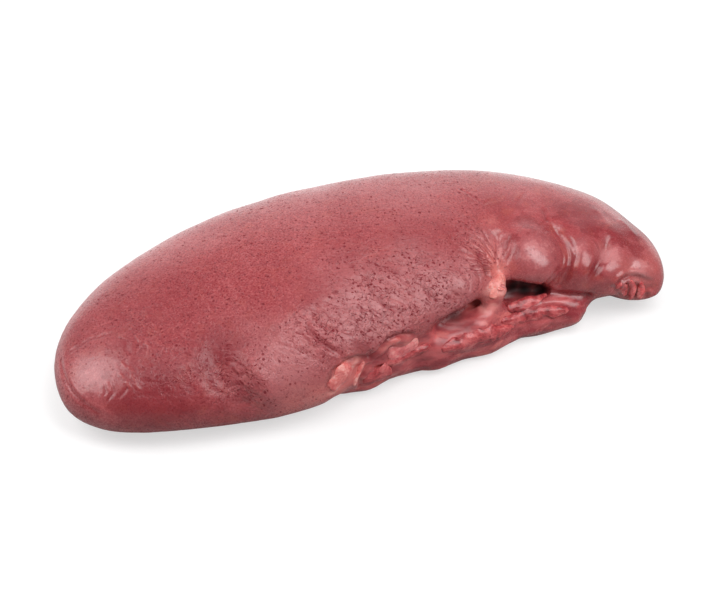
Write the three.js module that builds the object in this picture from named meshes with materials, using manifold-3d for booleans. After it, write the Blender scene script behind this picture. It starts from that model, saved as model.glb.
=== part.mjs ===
// A raw beef spleen lying on its flattened underside. Millimetres, +Z up.
// The blunt end is at -X and the tapered, folded end at +X. The hilum, where the vessels and fat
// leave the organ, is on the -Y side. The origin is under the middle of the organ, on the table.
import * as THREE from "three";
import { mergeVertices } from "three/addons/utils/BufferGeometryUtils.js";
import Module from "manifold-3d";

// Driving sizes of the organ
const LENGTH = 340;
const WIDEST_LINE_HEIGHT = 20;
// Sizes at equal steps from the blunt end to the tapered end, before both ends are rounded off
const FRONT_REACH = [66, 72, 67, 51.5, 59];
const BACK_REACH = [81.5, 76.5, 74, 59, 64.5];
const CREST_HEIGHT = [53.5, 56.5, 60.5, 55.5, 48.5];
const CENTRE_LINE = [-22, -6, -2, 3, -28.5];

// How square the plan is at each end, and the section above and below its widest line
const BLUNT_END_POWER = 2.3;
const TAPERED_END_POWER = 2.9;
const SIDE_POWER = 2.4;
const DOME_POWER = 2.1;
const UNDERSIDE_POWER = 3.0;
// The underside would bulge this much below the table, which flattens it
const UNDERSIDE_DEPTH = WIDEST_LINE_HEIGHT * 1.1;
const END_LIFT_POWER = 0.6;
// The heart of the organ, which swellings and folds move away from, is this much shorter than it
const HEART_LENGTH = 0.94;

// Faces of the organ's own surface, and how much they crowd to the front and to the tapered end
const RINGS = 78;
const SEGMENTS = 50;
const CROWD_TO_FRONT = 0.4;
const CROWD_TO_TAPER = 0.25;

// Swellings and hollows of the surface: centre, radius and height, negative for a hollow
const SWELLINGS = [
  { at: [-146, -34, 38], radius: 26, height: 2.5 },
  { at: [-86, -54, 42], radius: 20, height: -3 },
  { at: [-108, -20, 52], radius: 28, height: -1.5 },
  { at: [-100, 48, 34], radius: 30, height: -1 },
  { at: [-70, -68, 12], radius: 24, height: 1.5 },
  { at: [-38, -52, 48], radius: 34, height: 2.5 },
  { at: [46, -44, 42], radius: 20, height: 3 },
  { at: [92, -40, 42], radius: 15, height: 6 },
  { at: [120, -45, 34], radius: 11, height: 6 },
  { at: [137, -51, 27], radius: 11, height: 5.5 },
  { at: [165, -6, 31], radius: 14, height: -3.5 },
  { at: [160, -58, 10], radius: 12, height: 4 },
  { at: [149, -56, 20], radius: 8, height: -5 },
];

// Folds fan out from the hilum and fade towards the crest: root, bend and end
const FOLDS = [
  { root: [71, -40, 34], bend: [76, -24, 50], end: [83, 4, 54], depth: 10, width: 6 },
  { root: [105, -46, 28], bend: [112, -46, 42], end: [108, -20, 50], depth: 9, width: 4.5 },
  { root: [117, -50, 16], bend: [131, -52, 34], end: [137, -24, 43], depth: 11, width: 5 },
  { root: [137, -56, 14], bend: [147, -56, 28], end: [153, -34, 34], depth: 9, width: 4.5 },
];
const FOLD_SAMPLES = 24;

// The lip over the hilum rises steeply from the table at its start and falls away to its end
const LIP = { start: -48, rise: 26, height: 36, level: 84, end: 130, endHeight: 12, fade: 10 };
const LIP_DROP = 6;
// The wall below the lip is drawn in this much, and reaches that depth over this length
const HILUM_DEPTH = 13;
const HILUM_RAMP = 42;
// The draw fades out over this much of the way round from the front, as a share of the half width
const HILUM_WRAP = 0.6;

// Fat, vessels and trimmed tissue in the hilum: centre, half sizes, in degrees the turn about Z
// and the lean towards the tapered end, and how finely the lump is divided
const TISSUE = [
  { at: [-2, -50, 12], half: [44, 14, 16], turn: 7, lean: 0, detail: 5 },
  { at: [46, -48, 11], half: [38, 14, 14], turn: 1, lean: 0, detail: 5 },
  { at: [90, -44, 8], half: [34, 12, 12], turn: -6, lean: 0, detail: 4 },
  { at: [-28, -58, 20], half: [15, 13, 15.5], turn: 8, lean: 30, detail: 3 },
  { at: [-9, -56, 13], half: [14, 10, 12], turn: 8, lean: 10, detail: 3 },
  { at: [-6, -58, 27], half: [7, 7, 5], turn: 20, lean: 0, detail: 2 },
  { at: [10, -52, 27], half: [19, 10, 10], turn: 7, lean: -12, detail: 3 },
  { at: [30, -54, 12], half: [15, 9, 12], turn: -6, lean: 20, detail: 3 },
  { at: [55, -51, 15], half: [14, 10, 13], turn: -4, lean: -16, detail: 3 },
  { at: [66, -46, 28], half: [6, 5, 15], turn: 10, lean: 30, detail: 2 },
  { at: [85, -46, 15], half: [18, 8, 8.5], turn: 2, lean: -10, detail: 3 },
  { at: [106, -41, 16], half: [11, 10, 13], turn: 0, lean: 0, detail: 2 },
  { at: [110, -50, 9], half: [11, 8, 9], turn: -10, lean: 0, detail: 3 },
  { at: [113, -50, 17], half: [4.5, 4, 5], turn: 0, lean: 20, detail: 2 },
];
// How uneven a lump is, and how fast its unevenness changes along each axis
const TISSUE_ROUGHNESS = 0.1;
const TISSUE_WAVES = new THREE.Vector3(4.1, 3.3, 2.7);

// The hollow above the hilum tissue, and the arch where the tapered end stands clear of the table
const HOLLOWS = [
  { at: [84, -42, 27], half: [12, 14, 5], turn: 4, lean: 0, detail: 3 },
  { at: [130, -52, 0], half: [8, 14, 9.5], turn: 0, lean: 0, detail: 3 },
];

// A size at a share of the length, smoothly between its equally spaced values
function along(sizes, share) {
  const place = share * (sizes.length - 1);
  const i = Math.min(Math.floor(place), sizes.length - 2);
  const t = place - i;
  const slope = (k) => {
    const low = Math.max(k - 1, 0);
    const high = Math.min(k + 1, sizes.length - 1);
    return (sizes[high] - sizes[low]) / (high - low);
  };
  const s = t * t * (3 - 2 * t);
  const rise = slope(i) * t * (1 - t) * (1 - t) - slope(i + 1) * t * t * (1 - t);
  return sizes[i] + (sizes[i + 1] - sizes[i]) * s + rise;
}

// A sine or cosine raised to a power, with its sign kept
const signed = (value, power) => Math.sign(value) * Math.abs(value) ** power;

const smoothStep = THREE.MathUtils.smoothstep;

// The point of the plain organ for a direction on a sphere whose poles are the two ends
function plainPoint(direction) {
  const towardsEnd = THREE.MathUtils.clamp(direction.x, -1, 1);
  const power = towardsEnd < 0 ? BLUNT_END_POWER : TAPERED_END_POWER;
  const round = Math.sqrt(1 - towardsEnd * towardsEnd);
  const share = (1 + signed(towardsEnd, 2 / power)) / 2;
  const end = round ** (2 / power);

  const across = round > 0 ? direction.y / round : 0;
  const upward = round > 0 ? direction.z / round : 0;
  const reach = across < 0 ? along(FRONT_REACH, share) : along(BACK_REACH, share);
  const y = along(CENTRE_LINE, share) + end * reach * signed(across, 2 / SIDE_POWER);
  const crest = along(CREST_HEIGHT, share) - WIDEST_LINE_HEIGHT;
  const lift =
    upward > 0
      ? end * crest * signed(upward, 2 / DOME_POWER)
      : end ** END_LIFT_POWER * UNDERSIDE_DEPTH * signed(upward, 2 / UNDERSIDE_POWER);
  return new THREE.Vector3((share - 0.5) * LENGTH, y, WIDEST_LINE_HEIGHT + lift);
}

// Each fold as points along its curve
const foldPaths = FOLDS.map((fold) => {
  const [root, bend, end] = [fold.root, fold.bend, fold.end].map((p) => new THREE.Vector3(...p));
  const points = new THREE.QuadraticBezierCurve3(root, bend, end).getPoints(FOLD_SAMPLES);
  return { ...fold, points };
});

// How deep the folds cut at a point, in millimetres
function foldDepth(point) {
  let depth = 0;
  for (const fold of foldPaths) {
    let nearest = Infinity;
    let share = 0;
    fold.points.forEach((p, i) => {
      const distance = p.distanceTo(point);
      if (distance < nearest) {
        nearest = distance;
        share = i / FOLD_SAMPLES;
      }
    });
    depth += fold.depth * (1 - share) * Math.exp(-nearest / fold.width);
  }
  return depth;
}

// How high the swellings stand at a point, in millimetres
function swellingHeight(point) {
  return SWELLINGS.reduce((height, { at, radius, height: top }) => {
    const distance = point.distanceTo(new THREE.Vector3(...at)) / radius;
    return height + top * Math.exp(-distance * distance);
  }, 0);
}

// The height of the lip over the hilum at a distance along the organ
function lipHeight(x) {
  const rise = smoothStep(x, LIP.start, LIP.start + LIP.rise);
  const fall = smoothStep(x, LIP.level, LIP.end);
  const fade = 1 - smoothStep(x, LIP.end, LIP.end + LIP.fade);
  return rise * fade * THREE.MathUtils.lerp(LIP.height, LIP.endHeight, fall);
}

// The finished point of the organ for a direction on the sphere
function organPoint(direction) {
  const point = plainPoint(direction);
  const share = point.x / LENGTH + 0.5;
  const heart = new THREE.Vector3(point.x * HEART_LENGTH, along(CENTRE_LINE, share), WIDEST_LINE_HEIGHT);
  const outward = point.clone().sub(heart).normalize();
  const above = smoothStep(point.z, 0, WIDEST_LINE_HEIGHT / 2);
  point.addScaledVector(outward, above * (swellingHeight(point) - foldDepth(point)));

  const belowLip = smoothStep(lipHeight(point.x) - point.z, 0, LIP_DROP);
  const atFront = 1 - smoothStep(direction.y, -HILUM_WRAP, 0);
  const deepening = smoothStep(point.x, LIP.start, LIP.start + HILUM_RAMP);
  point.y += HILUM_DEPTH * belowLip * atFront * deepening;
  point.z = Math.max(point.z, 0);
  return point;
}

// A direction on the sphere, with its neighbours crowded to the front and to the tapered end
function crowded(direction) {
  const fromBluntEnd = Math.PI - Math.acos(THREE.MathUtils.clamp(direction.x, -1, 1));
  const sweep = fromBluntEnd + CROWD_TO_TAPER * Math.sin(fromBluntEnd);
  const fromFront = Math.atan2(direction.z, -direction.y);
  const turn = fromFront - CROWD_TO_FRONT * Math.sin(fromFront);
  const across = Math.sin(sweep);
  return new THREE.Vector3(-Math.cos(sweep), -across * Math.cos(turn), across * Math.sin(turn));
}

// A geometry with merged corners, each moved by a function
function shaped(geometry, move) {
  geometry.deleteAttribute("normal");
  geometry.deleteAttribute("uv");
  const merged = mergeVertices(geometry);
  const position = merged.getAttribute("position");
  const point = new THREE.Vector3();
  for (let i = 0; i < position.count; i++) {
    point.fromBufferAttribute(position, i);
    point.copy(move(point.clone(), i));
    position.setXYZ(i, point.x, point.y, point.z);
  }
  return merged;
}

// The organ itself: a sphere with its poles at the two ends, drawn out to the organ's form
function organ() {
  const sphere = new THREE.SphereGeometry(1, SEGMENTS, RINGS);
  sphere.rotateZ(-Math.PI / 2);
  return shaped(sphere, (direction) => organPoint(crowded(direction.normalize())));
}

// A lump of fat or vessel tissue, uneven, and flat where it lies on the table
function lump({ at, half, turn, lean, detail }) {
  const ball = new THREE.IcosahedronGeometry(1, detail);
  const size = new THREE.Vector3(...half);
  const centre = new THREE.Vector3(...at);
  const pose = new THREE.Euler(0, THREE.MathUtils.degToRad(lean), THREE.MathUtils.degToRad(turn), "ZYX");
  return shaped(ball, (point) => {
    const phase = point.clone().multiply(TISSUE_WAVES);
    const wave = Math.sin(phase.x + at[0]) * Math.sin(phase.y + phase.z + at[1]);
    point.multiplyScalar(1 + TISSUE_ROUGHNESS * wave).multiply(size).applyEuler(pose).add(centre);
    point.z = Math.max(point.z, 0);
    return point;
  });
}

const wasm = await Module();
wasm.setup();

// A closed geometry as a solid that can be joined and cut
function solid(geometry) {
  return new wasm.Manifold(
    new wasm.Mesh({
      numProp: 3,
      vertProperties: geometry.getAttribute("position").array,
      triVerts: new Uint32Array(geometry.index.array),
    }),
  );
}

// A solid as a three.js geometry
function surfaceOf(made) {
  const { vertProperties, triVerts } = made.getMesh();
  const geometry = new THREE.BufferGeometry();
  geometry.setAttribute("position", new THREE.BufferAttribute(vertProperties, 3));
  geometry.setIndex(new THREE.BufferAttribute(triVerts, 1));
  geometry.computeVertexNormals();
  geometry.computeBoundingBox();
  return geometry;
}

function spleen() {
  let body = solid(organ());
  for (const piece of TISSUE) body = body.add(solid(lump(piece)));
  for (const hollow of HOLLOWS) body = body.subtract(solid(lump(hollow)));
  const flesh = new THREE.MeshStandardMaterial({ color: 0xb05a5f, roughness: 0.35, metalness: 0 });
  const surface = surfaceOf(body);
  const middle = surface.boundingBox.getCenter(new THREE.Vector3());
  surface.translate(-middle.x, -middle.y, 0);
  const mesh = new THREE.Mesh(surface, flesh);
  mesh.name = "spleen";
  return mesh;
}

const part = new THREE.Group();
part.add(spleen());
export default part;
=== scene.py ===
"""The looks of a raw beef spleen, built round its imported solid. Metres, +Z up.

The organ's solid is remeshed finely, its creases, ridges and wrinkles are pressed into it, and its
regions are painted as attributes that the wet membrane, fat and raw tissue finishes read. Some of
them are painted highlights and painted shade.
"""

from __future__ import annotations

import logging
import math
from dataclasses import dataclass
from enum import Enum
from typing import Any, Iterable, Sequence

import bmesh
import bpy
import numpy as np
from mathutils import Matrix, Vector, noise
from mathutils.bvhtree import BVHTree


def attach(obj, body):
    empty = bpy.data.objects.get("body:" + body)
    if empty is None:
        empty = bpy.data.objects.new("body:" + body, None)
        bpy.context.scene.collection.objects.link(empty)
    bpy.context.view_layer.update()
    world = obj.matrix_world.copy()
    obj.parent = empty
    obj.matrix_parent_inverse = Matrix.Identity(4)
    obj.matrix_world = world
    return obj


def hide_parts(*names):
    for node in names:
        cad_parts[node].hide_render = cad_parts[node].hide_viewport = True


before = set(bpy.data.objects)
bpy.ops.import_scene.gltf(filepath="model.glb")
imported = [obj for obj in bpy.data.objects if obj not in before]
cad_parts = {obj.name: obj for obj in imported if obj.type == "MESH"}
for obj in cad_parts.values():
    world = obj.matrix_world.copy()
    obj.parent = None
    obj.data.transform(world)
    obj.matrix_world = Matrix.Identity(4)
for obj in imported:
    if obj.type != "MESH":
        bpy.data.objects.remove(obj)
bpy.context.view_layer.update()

NODE = "spleen"
BODY = "root"
MM = 0.001

Pixel = tuple[float, float]
Span = tuple[float, float]
Triple = tuple[float, float, float]
Colour = tuple[float, float, float, float]
Array = np.ndarray

log = logging.getLogger("spleen")


def smooth_step(span: Span, value: Array, unit: float = 1.0) -> Array:
    """Rise smoothly from 0 at a span's first number to 1 at its second.

    Args:
        span: where the rise starts and ends. Where it runs downwards, the value falls.
        value: the values to map.
        unit: the span's unit.

    Returns:
        Numbers from 0 to 1, one for each value.
    """
    low, high = span[0] * unit, span[1] * unit
    share = np.clip((value - low) / (high - low), 0.0, 1.0)
    return share * share * (3.0 - 2.0 * share)


def bell(value: Array, power: float = 2.0) -> Array:
    """Return a bell that is 1 where the value is 0."""
    return np.exp(-(value**power))


def place_object(name: str, data: bpy.types.ID) -> bpy.types.Object:
    """Put data in the scene.

    Args:
        name: the object's name.
        data: its mesh, light or camera.

    Returns:
        The object, at the origin.
    """
    placed = bpy.data.objects.new(name, data)
    bpy.context.scene.collection.objects.link(placed)
    return placed


def to_mesh(name: str, shape: bmesh.types.BMesh) -> bpy.types.Mesh:
    """Turn a shape into a mesh, and free it.

    Args:
        name: the mesh's name.
        shape: the shape.

    Returns:
        The mesh.
    """
    mesh = bpy.data.meshes.new(name)
    shape.to_mesh(mesh)
    shape.free()
    return mesh


def smooth_all(shape: bmesh.types.BMesh, passes: int = 1) -> None:
    """Move every point of a shape towards its neighbours.

    Args:
        shape: the shape.
        passes: how many times.
    """
    for _ in range(passes):
        bmesh.ops.smooth_vert(
            shape, verts=shape.verts, factor=0.5, use_axis_x=True, use_axis_y=True, use_axis_z=True,
        )


def stand_for_node(piece: bpy.types.Object) -> None:
    """Hang a piece on the body's empty, and hide the organ's imported solid, which it replaces.

    Args:
        piece: the organ, or a strap in its hilum.
    """
    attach(piece, BODY)
    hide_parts(NODE)


@dataclass(frozen=True)
class PhotoView:
    """The photograph's camera, and the way from its pixels to the object."""

    elevation: float = 44.0
    azimuth: float = -19.5
    distance: float = 1.0849
    target: Triple = (0.0002, -0.0127, 0.0224)
    lens: float = 100.0
    sensor: float = 36.0
    width: int = 717
    height: int = 600
    clip_end: float = 20.0

    def axes(self) -> tuple[Vector, Vector, Vector]:
        """Work out which way the camera looks.

        Returns:
            The directions to the right, up and back of the view.
        """
        turn, lift = math.radians(self.azimuth), math.radians(self.elevation)
        flat = math.cos(lift)
        back = Vector((math.sin(turn) * flat, -math.cos(turn) * flat, math.sin(lift)))
        right = Vector((math.cos(turn), math.sin(turn), 0.0))
        return right, back.cross(right), back

    def place(self) -> Vector:
        """Return where the camera stands."""
        return Vector(self.target) + self.axes()[2] * self.distance

    def ray(self, pixel: Pixel) -> Vector:
        """Work out the direction in which the camera sees a pixel.

        Args:
            pixel: a pixel of the photograph.

        Returns:
            The direction, of length 1.
        """
        right, up, back = self.axes()
        focal = self.lens / self.sensor * self.width
        across = (pixel[0] - self.width / 2) / focal
        above = (self.height / 2 - pixel[1]) / focal
        return (right * across + up * above - back).normalized()

    def build(self) -> None:
        """Make the camera."""
        data = bpy.data.cameras.new("camera")
        data.lens = self.lens
        data.sensor_width = self.sensor
        data.clip_end = self.clip_end
        camera = place_object("camera", data)
        turned = Matrix(self.axes()).transposed().to_4x4()
        camera.matrix_world = Matrix.Translation(self.place()) @ turned
        bpy.context.scene.camera = camera


@dataclass(frozen=True)
class SoftBox:
    """A soft box: the direction it shines from, its distance, its sides and its radiance."""

    name: str
    direction: Triple
    distance: float
    sides: tuple[float, float]
    radiance: float

    def build(self, aim: Vector) -> None:
        """Make the light.

        Args:
            aim: the point that it shines at.
        """
        data = bpy.data.lights.new(self.name, "AREA")
        data.shape = "RECTANGLE"
        data.size, data.size_y = self.sides
        data.energy = self.radiance * math.pi * self.sides[0] * self.sides[1]
        light = place_object(self.name, data)
        towards = Vector(self.direction).normalized()
        light.location = aim + towards * self.distance
        light.rotation_mode = "QUATERNION"
        light.rotation_quaternion = towards.to_track_quat("Z", "Y")


class Value:
    """A shader socket that carries a number or a vector, whose arithmetic adds nodes."""

    def __init__(self, graph: Graph, socket: bpy.types.NodeSocket) -> None:
        """Wrap a socket of a graph."""
        self.graph = graph
        self.socket = socket

    def _math(self, operation: str, *operands: Any, clamp: bool = False) -> Value:
        """Return the result of a Math node on this value's graph."""
        settings = {"operation": operation, "use_clamp": clamp}
        return self.graph.node("ShaderNodeMath", settings, *operands)

    def __add__(self, other: Any) -> Value:
        """Return the sum."""
        return self._math("ADD", self, other)

    __radd__ = __add__

    def __sub__(self, other: Any) -> Value:
        """Return the difference."""
        return self._math("SUBTRACT", self, other)

    def __rsub__(self, other: Any) -> Value:
        """Return the reflected difference."""
        return self._math("SUBTRACT", other, self)

    def __mul__(self, other: Any) -> Value:
        """Return the product."""
        return self._math("MULTIPLY", self, other)

    __rmul__ = __mul__

    def __truediv__(self, other: Any) -> Value:
        """Return the quotient."""
        return self._math("DIVIDE", self, other)

    def __rtruediv__(self, other: Any) -> Value:
        """Return the reflected quotient."""
        return self._math("DIVIDE", other, self)

    def clamped(self) -> Value:
        """Return the value held between 0 and 1."""
        return self._math("ADD", self, 0.0, clamp=True)

    def size(self) -> Value:
        """Return the value without its sign."""
        return self._math("ABSOLUTE", self)

    def between(self, low: float, high: float) -> Value:
        """Map the value to a smooth rise, or a fall where high is the lower.

        Args:
            low: where the result is 0.
            high: where it is 1.

        Returns:
            A value from 0 to 1.
        """
        if low < high:
            settings = {"interpolation_type": "SMOOTHSTEP"}
            return self.graph.node("ShaderNodeMapRange", settings, self, low, high)
        return 1.0 - self.between(high, low)


class Graph:
    """The node tree of one material or world."""

    def __init__(self, tree: bpy.types.NodeTree) -> None:
        """Start an empty tree."""
        self.tree = tree
        tree.nodes.clear()

    def link(self, value: Any, socket: bpy.types.NodeSocket) -> None:
        """Give a socket a value.

        Args:
            value: what it gets. A Value is linked, and anything else is set.
            socket: the socket.
        """
        if isinstance(value, Value):
            self.tree.links.new(value.socket, socket)
        else:
            socket.default_value = value

    def node(self, kind: str, settings: dict[str, Any], *inputs: Any, output: str = "",
             **named: Any) -> Value | None:
        """Add a node.

        Args:
            kind: the node's type.
            settings: its own settings, set before its sockets.
            *inputs: values or links of its first enabled sockets, in order.
            output: the name of the output to return, where it isn't the first.
            **named: values or links of sockets by name, with _ for a space.

        Returns:
            Its output, or None where it has none.
        """
        made = self.tree.nodes.new(kind)
        for name, value in settings.items():
            if name == "stops":
                self._set_stops(made, value)
            else:
                setattr(made, name, value)
        sockets = [socket for socket in made.inputs if socket.enabled]
        for value, socket in zip(inputs, sockets):
            self.link(value, socket)
        for name, value in named.items():
            wanted = name.replace("_", " ")
            self.link(value, next(socket for socket in sockets if socket.name == wanted))
        outputs = [socket for socket in made.outputs if socket.enabled]
        wanted = [socket for socket in outputs if socket.name == output] or outputs
        return Value(self, wanted[0]) if wanted else None

    @staticmethod
    def _set_stops(ramp: bpy.types.Node, stops: Sequence[tuple[float, tuple]]) -> None:
        """Set a colour ramp's stops.

        Args:
            ramp: the ramp's node.
            stops: the place and colour of each stop, in order.
        """
        elements = ramp.color_ramp.elements
        while len(elements) < len(stops):
            elements.new(0.5)
        for element, (place, colour) in zip(elements, stops):
            element.position = place
            element.color = colour

    def vector(self, operation: str, *inputs: Any, output: str = "", **named: Any) -> Value:
        """Return the result of a Vector Math node."""
        settings = {"operation": operation}
        return self.node("ShaderNodeVectorMath", settings, *inputs, output=output, **named)

    def attribute(self, paint: Paint) -> Value:
        """Return a painted attribute of the piece as a number."""
        return self.node("ShaderNodeAttribute", {"attribute_name": paint.value}, output="Fac")

    def millimetres(self) -> Value:
        """Return the piece's own coordinates in millimetres."""
        place = self.node("ShaderNodeTexCoord", {}, output="Object")
        return self.vector("SCALE", place, Scale=1 / MM)

    def drawn_out(self, place: Value, direction: Triple, stretch: float) -> Value:
        """Draw a pattern out along a direction.

        Args:
            place: coordinates in millimetres.
            direction: the direction.
            stretch: how many times as long the pattern gets.

        Returns:
            The coordinates at which the pattern is read.
        """
        towards = tuple(Vector(direction).normalized())
        travelled = self.vector("DOT_PRODUCT", place, towards, output="Value")
        part = self.vector("SCALE", towards, Scale=travelled * (1.0 - 1.0 / stretch))
        return self.vector("SUBTRACT", place, part)

    def warped(self, place: Value, scale: float, reach: float) -> Value:
        """Push coordinates aside with noise.

        Args:
            place: coordinates in millimetres.
            scale: how many waves the noise has to a millimetre.
            reach: twice the furthest that it pushes, in millimetres.

        Returns:
            The pushed coordinates.
        """
        push = self.node("ShaderNodeTexNoise", {}, place, Scale=scale, output="Color")
        push = self.vector("SCALE", self.vector("SUBTRACT", push, (0.5, 0.5, 0.5)), Scale=reach)
        return self.vector("ADD", place, push)

    @staticmethod
    def grown(pair: Span, mask: Value) -> Value:
        """Return a pair's first number, plus its second where a mask is 1."""
        return pair[0] + pair[1] * mask

    def blend(self, share: Any, low: Any, high: Any) -> Value:
        """Return a mix of two colours."""
        settings = {"data_type": "RGBA", "blend_type": "MIX", "clamp_factor": True}
        return self.node("ShaderNodeMix", settings, share, low, high)


@dataclass(frozen=True)
class Noise:
    """Smooth noise, with scale waves to a millimetre, which may rise from 0 to 1 between levels."""

    scale: float
    detail: float = 2.0
    rough: float = 0.5
    levels: Span | None = None

    def on(self, place: Value) -> Value:
        """Add the noise.

        Args:
            place: coordinates in millimetres.

        Returns:
            A number from 0 to 1.
        """
        named = {"Scale": self.scale, "Detail": self.detail, "Roughness": self.rough}
        level = place.graph.node("ShaderNodeTexNoise", {}, place, **named)
        return level.between(*self.levels) if self.levels else level


@dataclass(frozen=True)
class Dots:
    """Dots of uneven size: their spacing, usual radius and soft edge in millimetres."""

    spacing: float
    radius: float
    edge: float
    stretch: float = 1.0
    largest: float = 2.0
    missing: float = 0.2

    def on(self, place: Value) -> Value:
        """Add the dots.

        Args:
            place: coordinates in millimetres, drawn out already where the dots are.

        Returns:
            1 in the dots and 0 between them.
        """
        graph = place.graph
        named = {"Scale": 1.0 / self.spacing, "Randomness": 1.0}
        cell = graph.node("ShaderNodeTexVoronoi", {}, place, output="Distance", **named)
        outputs = {socket.name: socket for socket in cell.socket.node.outputs}
        chance = Value(graph, outputs["Color"])
        size = chance * (self.largest * self.radius / self.spacing)
        size = size - self.missing * self.radius / self.spacing
        return ((size - cell) * (self.spacing / self.edge)).clamped()


@dataclass(frozen=True)
class Threads:
    """Thin winding lines, where smooth noise of a scale crosses its middle."""

    scale: float
    width: float
    stretch: float = 1.0
    middle: float = 0.5

    def on(self, place: Value) -> Value:
        """Add the threads.

        Args:
            place: coordinates in millimetres, drawn out already where the threads are.

        Returns:
            1 along the threads and 0 between them.
        """
        crossing = (Noise(self.scale, 1.0).on(place) - self.middle).size()
        return (1.0 - crossing / self.width).clamped()


@dataclass(frozen=True)
class Seams:
    """Lines between cells: the cells' spacing and the lines' width in millimetres."""

    spacing: float
    width: float
    core: float = 0.3

    def on(self, place: Value) -> Value:
        """Add the seams.

        Args:
            place: coordinates in millimetres.

        Returns:
            1 along the seams and 0 between them.
        """
        settings = {"feature": "DISTANCE_TO_EDGE"}
        named = {"Scale": 1.0 / self.spacing, "Randomness": 1.0}
        edge = place.graph.node("ShaderNodeTexVoronoi", settings, place, **named)
        return edge.between(self.width / self.spacing, self.core * self.width / self.spacing)


def new_material(name: str) -> tuple[bpy.types.Material, Graph]:
    """Make an empty material.

    Args:
        name: its name.

    Returns:
        The material and the graph of its nodes.
    """
    made = bpy.data.materials.new(name)
    made.use_nodes = True
    return made, Graph(made.node_tree)


def linear(red: int, green: int, blue: int) -> Colour:
    """Turn a colour as it shows on a screen into linear light.

    Args:
        red: its red, from 0 to 255.
        green: its green.
        blue: its blue.

    Returns:
        The colour, opaque.
    """

    def decode(level: int) -> float:
        """Return one channel in linear light, by the usual curve of screens."""
        share = level / 255.0
        return share / 12.92 if share <= 0.04045 else ((share + 0.055) / 1.055) ** 2.4

    return decode(red), decode(green), decode(blue), 1.0


@dataclass(frozen=True)
class Crease:
    """A line through pixels of the photograph, pressed into the skin, or raised where depth is below 0.

    The depth and width are in millimetres. The shoulder is the share of the depth by which the skin
    bulges on either side. It fades in and out over shares of its length.
    """

    pixels: tuple[Pixel, ...]
    depth: float
    width: float
    shoulder: float = 0.3
    fade_in: float = 0.15
    fade_out: float = 0.35
    power: float = 1.4


@dataclass(frozen=True)
class Form(Crease):
    """A broad swelling or valley, which has no shoulders."""

    shoulder: float = 0.0
    fade_in: float = 0.0
    fade_out: float = 0.0


@dataclass(frozen=True)
class Spot:
    """A round region of the skin about a pixel of the photograph, with its radius in millimetres."""

    pixel: Pixel
    radius: float
    strength: float = 1.0


@dataclass(frozen=True)
class Waves:
    """Noise in the skin's height: its height and length in millimetres, and its seed."""

    height: float
    length: float
    seed: float


class Paint(Enum):
    """The attributes that the finish reads."""

    RAW = "raw"
    FAT = "fat"
    SALMON = "salmon"
    # Wine-coloured patches of the skin, and painted shade on its shaded sides
    WINE_AND_SHADE = "wine_and_shade"
    # Paler membrane, and painted highlights where the soft boxes reflect
    BLOOM_AND_HIGHLIGHT = "bloom_and_highlight"
    WRINKLED = "wrinkled"
    SMOOTH = "smooth_skin"
    # Painted shade along thin creases, and a painted highlight along thin raised ridges
    GROOVE = "groove"
    RIDGE = "ridge"
    # Painted shade in the deep hollow under the fold
    CAVITY_SHADE = "cavity_shade"
    FAN_TURN = "fan_turn"
    FAN_REACH = "fan_reach"


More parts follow.
